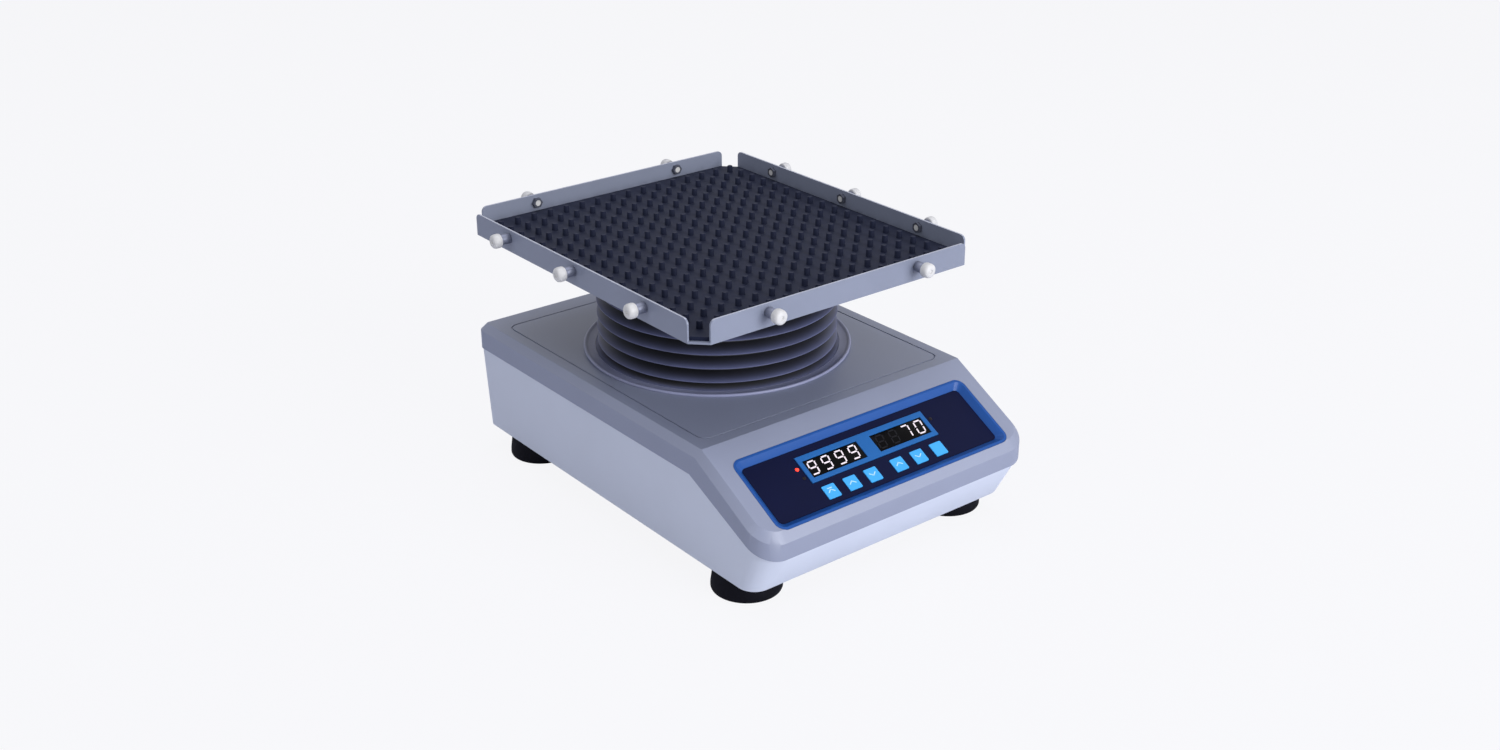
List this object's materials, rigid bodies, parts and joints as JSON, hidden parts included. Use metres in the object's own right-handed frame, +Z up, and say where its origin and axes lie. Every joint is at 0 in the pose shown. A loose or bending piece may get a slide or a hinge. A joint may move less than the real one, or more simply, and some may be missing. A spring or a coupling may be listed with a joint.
{
  "type": "rocking shaker",
  "caption": "Bench top rocking shaker: a wedge fronted base with a blue control panel, a pleated bellows and a flat tray with a dimpled mat and strap posts.",
  "frame": {"origin": "on the bench plane under the feet, midway between the side walls of the base and midway between the nose and the heads of the rear strap posts", "axes": "+Z up, -Y towards the control panel, +X to the right as seen from the front"},
  "size_m": [0.296, 0.3872, 0.2092],
  "materials": {
    "cover_grey": "satin",
    "tub_grey": "satin",
    "foot_rubber": "matte",
    "frame_blue": "gloss",
    "membrane_navy": "satin",
    "bezel_blue": "gloss",
    "display_black": "gloss",
    "key_blue": "satin",
    "lamp_red": "gloss",
    "lamp_dark": "gloss",
    "board_green": "satin",
    "screw_steel": "satin",
    "black_plastic": "satin",
    "chassis_steel": "matte",
    "bearing_steel": "polished",
    "shaft_steel": "polished",
    "yoke_aluminium": "satin",
    "gear_nylon": "satin",
    "pinion_brass": "satin",
    "motor_black": "satin",
    "bellows_rubber": "matte",
    "tray_grey": "satin",
    "mat_rubber": "matte",
    "post_nylon": "satin",
    "spacer_grey": "satin"
  },
  "bodies": {
    "base": {"upper_housing": "cover_grey", "lower_housing": "tub_grey", "housing_screws": "screw_steel", "rubber_foot_front_left": "foot_rubber", "rubber_foot_front_right": "foot_rubber", "rubber_foot_rear_left": "foot_rubber", "rubber_foot_rear_right": "foot_rubber", "foot_screws": "screw_steel", "control_panel_frame": "frame_blue", "panel_membrane": "membrane_navy", "display_bezel": "bezel_blue", "time_display": "display_black", "speed_display": "display_black", "control_board": "board_green", "board_spacers": "yoke_aluminium", "key_switches": "black_plastic", "lamp_left": "lamp_red", "lamp_right": "lamp_dark", "power_inlet": "black_plastic", "power_switch_housing": "black_plastic", "chassis_plate": "chassis_steel", "pedestal_front": "yoke_aluminium", "pedestal_rear": "yoke_aluminium", "bearing_front": "bearing_steel", "bearing_rear": "bearing_steel", "motor_bracket": "chassis_steel", "drive_motor": "motor_black", "motor_screws": "screw_steel", "power_supply": "board_green", "bellows": "bellows_rubber", "bellows_ring": "bellows_rubber"},
    "platform": {"rocker_shaft": "shaft_steel", "platform_yoke": "yoke_aluminium", "sector_gear": "gear_nylon", "platform_plate": "yoke_aluminium", "tray": "tray_grey", "tray_screws": "screw_steel", "dimple_mat": "mat_rubber", "strap_posts": "post_nylon", "post_spacers": "spacer_grey", "post_nuts": "screw_steel"},
    "drive": {"drive_pinion": "pinion_brass", "motor_shaft": "shaft_steel"},
    "power_switch_rocker": {"power_switch_rocker": "black_plastic"},
    "key_1": {"key_1": "key_blue"},
    "key_2": {"key_2": "key_blue"},
    "key_3": {"key_3": "key_blue"},
    "key_4": {"key_4": "key_blue"},
    "key_5": {"key_5": "key_blue"},
    "key_6": {"key_6": "key_blue"}
  },
  "joints": [
    {"name": "rocking", "type": "hinge", "parent": "base", "child": "platform", "pos_m": [0, 0.0271, 0.16], "axis": [0, 1, 0], "range_deg": [-8, 8], "deforming": ["bellows"]},
    {"name": "pinion_turn", "type": "hinge", "parent": "base", "child": "drive", "pos_m": [0, 0.0271, 0.0865], "axis": [0, 1, 0], "range_deg": [-36, 36]},
    {"name": "key_1_press", "type": "slide", "parent": "base", "child": "key_1", "axis": [0, 0.4748, -0.8801], "range_m": [0, 0.0005], "stiffness_N_per_m": 1500, "springref_m": -0.0006},
    {"name": "key_2_press", "type": "slide", "parent": "base", "child": "key_2", "axis": [0, 0.4748, -0.8801], "range_m": [0, 0.0005], "stiffness_N_per_m": 1500, "springref_m": -0.0006},
    {"name": "key_3_press", "type": "slide", "parent": "base", "child": "key_3", "axis": [0, 0.4748, -0.8801], "range_m": [0, 0.0005], "stiffness_N_per_m": 1500, "springref_m": -0.0006},
    {"name": "key_4_press", "type": "slide", "parent": "base", "child": "key_4", "axis": [0, 0.4748, -0.8801], "range_m": [0, 0.0005], "stiffness_N_per_m": 1500, "springref_m": -0.0006},
    {"name": "key_5_press", "type": "slide", "parent": "base", "child": "key_5", "axis": [0, 0.4748, -0.8801], "range_m": [0, 0.0005], "stiffness_N_per_m": 1500, "springref_m": -0.0006},
    {"name": "key_6_press", "type": "slide", "parent": "base", "child": "key_6", "axis": [0, 0.4748, -0.8801], "range_m": [0, 0.0005], "stiffness_N_per_m": 1500, "springref_m": -0.0006},
    {"name": "power_switch_tip", "type": "hinge", "parent": "base", "child": "power_switch_rocker", "pos_m": [0.022, 0.1809, 0.052], "axis": [1, 0, 0], "range_deg": [-14, 0]}
  ],
  "couplings": [
    {"joint": "pinion_turn", "follows": "rocking", "ratio": -4.4444}
  ]
}
